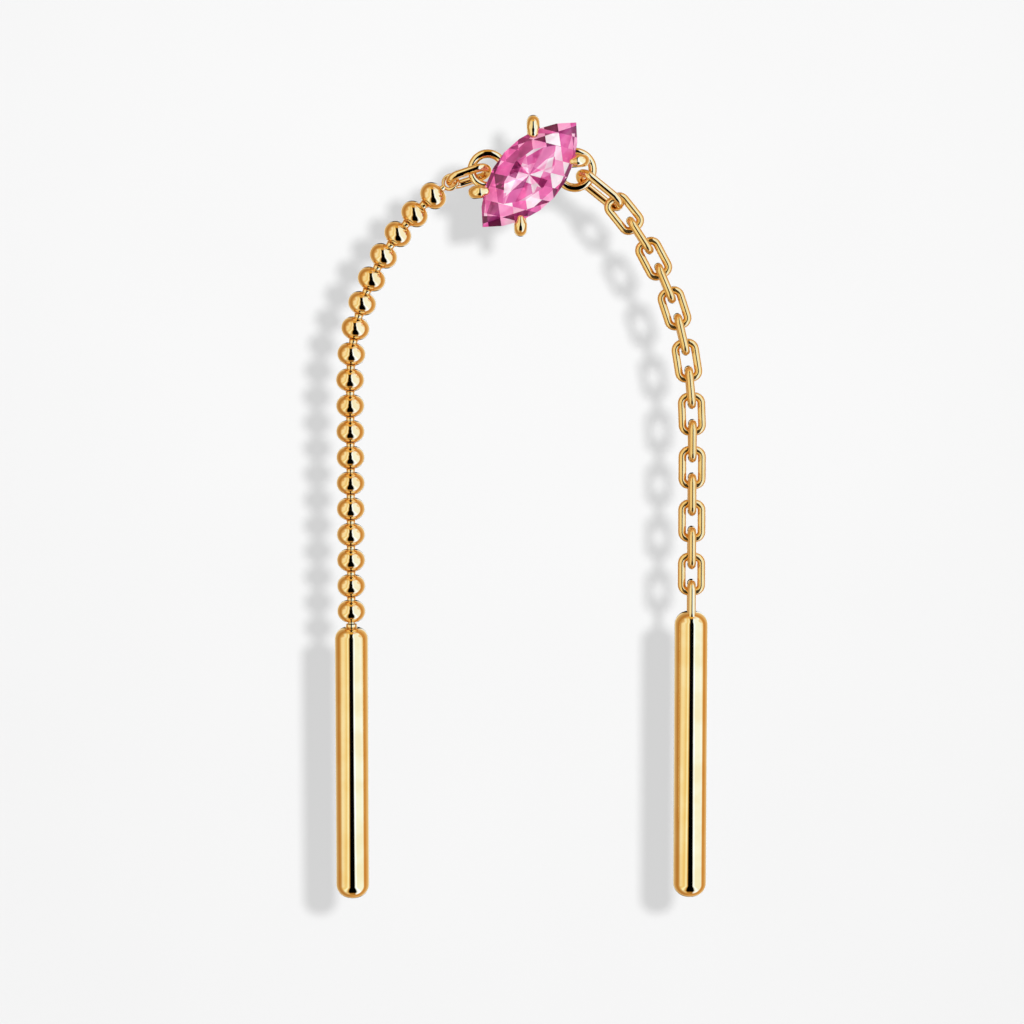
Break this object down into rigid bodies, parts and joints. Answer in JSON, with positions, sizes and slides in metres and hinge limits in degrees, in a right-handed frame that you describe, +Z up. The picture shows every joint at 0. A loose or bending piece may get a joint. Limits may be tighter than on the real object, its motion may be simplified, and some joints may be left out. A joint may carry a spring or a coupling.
{
  "type": "threader earring",
  "caption": "Threader earring: a pink marquise stone in a claw setting, with a bead strand and a cable chain hanging from its sides, each ending in a straight bar that threads through the ear.",
  "frame": {"origin": "behind the middle of the stone, in the plane in which the two strands hang, where the earring sits on the ear", "axes": "+Z up, along the hanging bars; -Y towards the viewer, the way the stone faces; +X towards the cable chain"},
  "size_m": [0.0136, 0.002, 0.0286],
  "materials": {
    "gold": "polished yellow gold",
    "stone": "faceted pink stone"
  },
  "bodies": {
    "strands": {"setting": "gold", "stone": "stone", "bead_joining_link": "gold", "chain_joining_link": "gold", "bead_loop": "gold", "bead_necks": "gold", "bead_01": "gold", "bead_02": "gold", "bead_03": "gold", "bead_04": "gold", "bead_05": "gold", "bead_06": "gold", "bead_07": "gold", "bead_08": "gold", "bead_09": "gold", "bead_10": "gold", "bead_11": "gold", "bead_12": "gold", "bead_13": "gold", "bead_14": "gold", "bead_15": "gold", "bead_16": "gold", "bead_17": "gold", "bead_18": "gold", "link_01": "gold", "link_02": "gold", "link_03": "gold", "link_04": "gold", "link_05": "gold", "link_06": "gold", "link_07": "gold", "link_08": "gold", "link_09": "gold", "link_10": "gold", "link_11": "gold", "link_12": "gold", "link_13": "gold", "link_14": "gold", "link_15": "gold"},
    "left_bar": {"bar_left": "gold"},
    "right_bar": {"bar_right": "gold"}
  },
  "joints": [
    {"name": "left_bar_swing", "type": "hinge", "parent": "strands", "child": "left_bar", "pos_m": [-0.00649, 0, -0.01596], "axis": [0, 1, 0], "range_deg": [-10, 10]},
    {"name": "right_bar_swing", "type": "hinge", "parent": "strands", "child": "right_bar", "pos_m": [0.00593, 0, -0.01511], "axis": [1, 0, 0], "range_deg": [-75, 75]}
  ]
}
